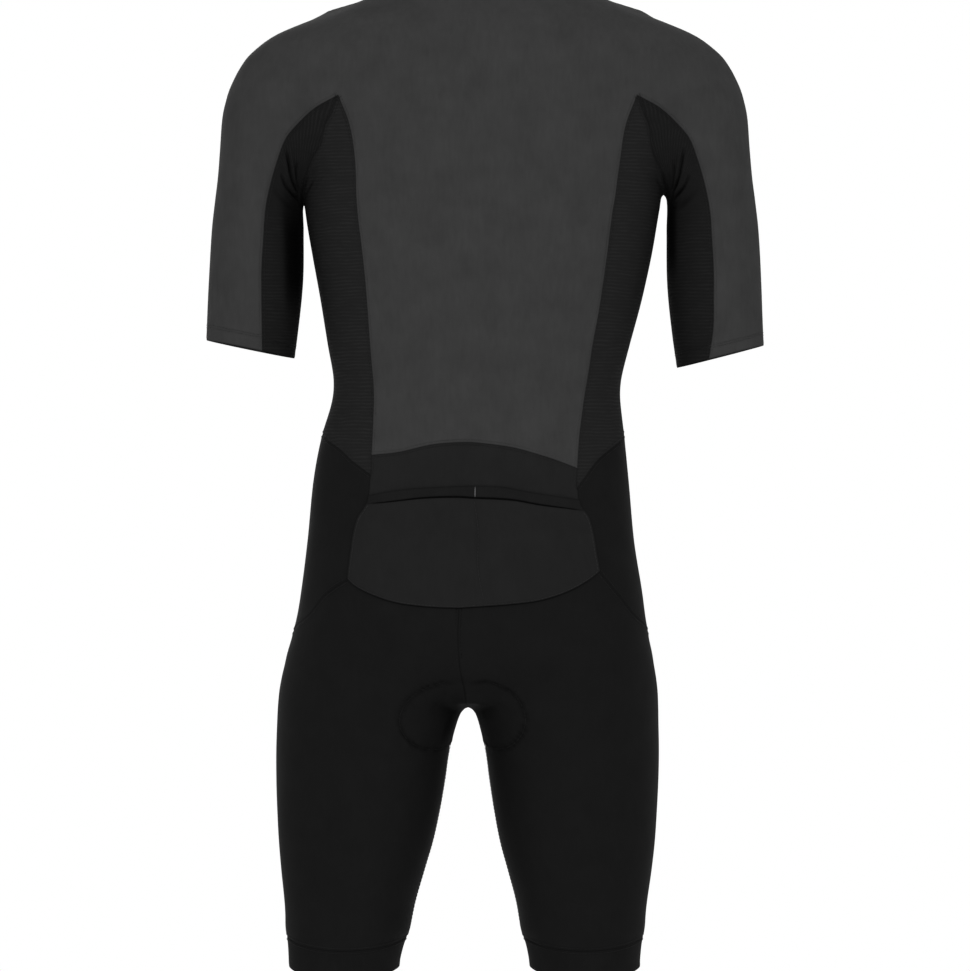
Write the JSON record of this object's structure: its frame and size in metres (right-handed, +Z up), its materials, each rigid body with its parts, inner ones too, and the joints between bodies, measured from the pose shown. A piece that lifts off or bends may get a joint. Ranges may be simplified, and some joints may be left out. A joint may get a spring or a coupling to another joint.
{
  "type": "triathlon suit",
  "caption": "Short-sleeved one-piece triathlon suit, filled out as worn, with a back pocket, a front zip, a seat pad and leg grippers.",
  "frame": {"origin": "on the garment's centre line at the height of the shoulder slopes, where the wearer holds it up", "axes": "+Z up the body, +X to the wearer's left, -Y the way the front faces"},
  "size_m": [0.528, 0.2234, 0.9833],
  "materials": {
    "grey_knit": "matte",
    "black_mesh": "matte",
    "black_pocket": "matte",
    "black_shorts": "matte",
    "black_gripper": "matte",
    "pad_foam": "matte",
    "zip_coil": "satin",
    "zip_metal": "satin"
  },
  "bodies": {
    "suit": {"back_and_sleeves": "grey_knit", "front_left": "grey_knit", "front_right": "grey_knit", "neck_band": "grey_knit", "undersleeve_left": "black_mesh", "undersleeve_right": "black_mesh", "side_left": "black_mesh", "side_right": "black_mesh", "lower_back": "black_pocket", "pocket": "black_pocket", "pocket_band": "black_gripper", "hip_left": "black_shorts", "hip_right": "black_shorts", "leg_left": "black_shorts", "leg_right": "black_shorts", "gripper_left": "black_gripper", "gripper_right": "black_gripper", "zip_tape": "zip_coil", "zip_slider": "zip_metal", "pad": "pad_foam"},
    "pull": {"zip_pull": "zip_metal"}
  },
  "joints": [
    {"name": "pull_swing", "type": "hinge", "parent": "suit", "child": "pull", "pos_m": [0, -0.08347, 0.01966], "axis": [-1, 0, 0], "range_deg": [0, 150]}
  ]
}
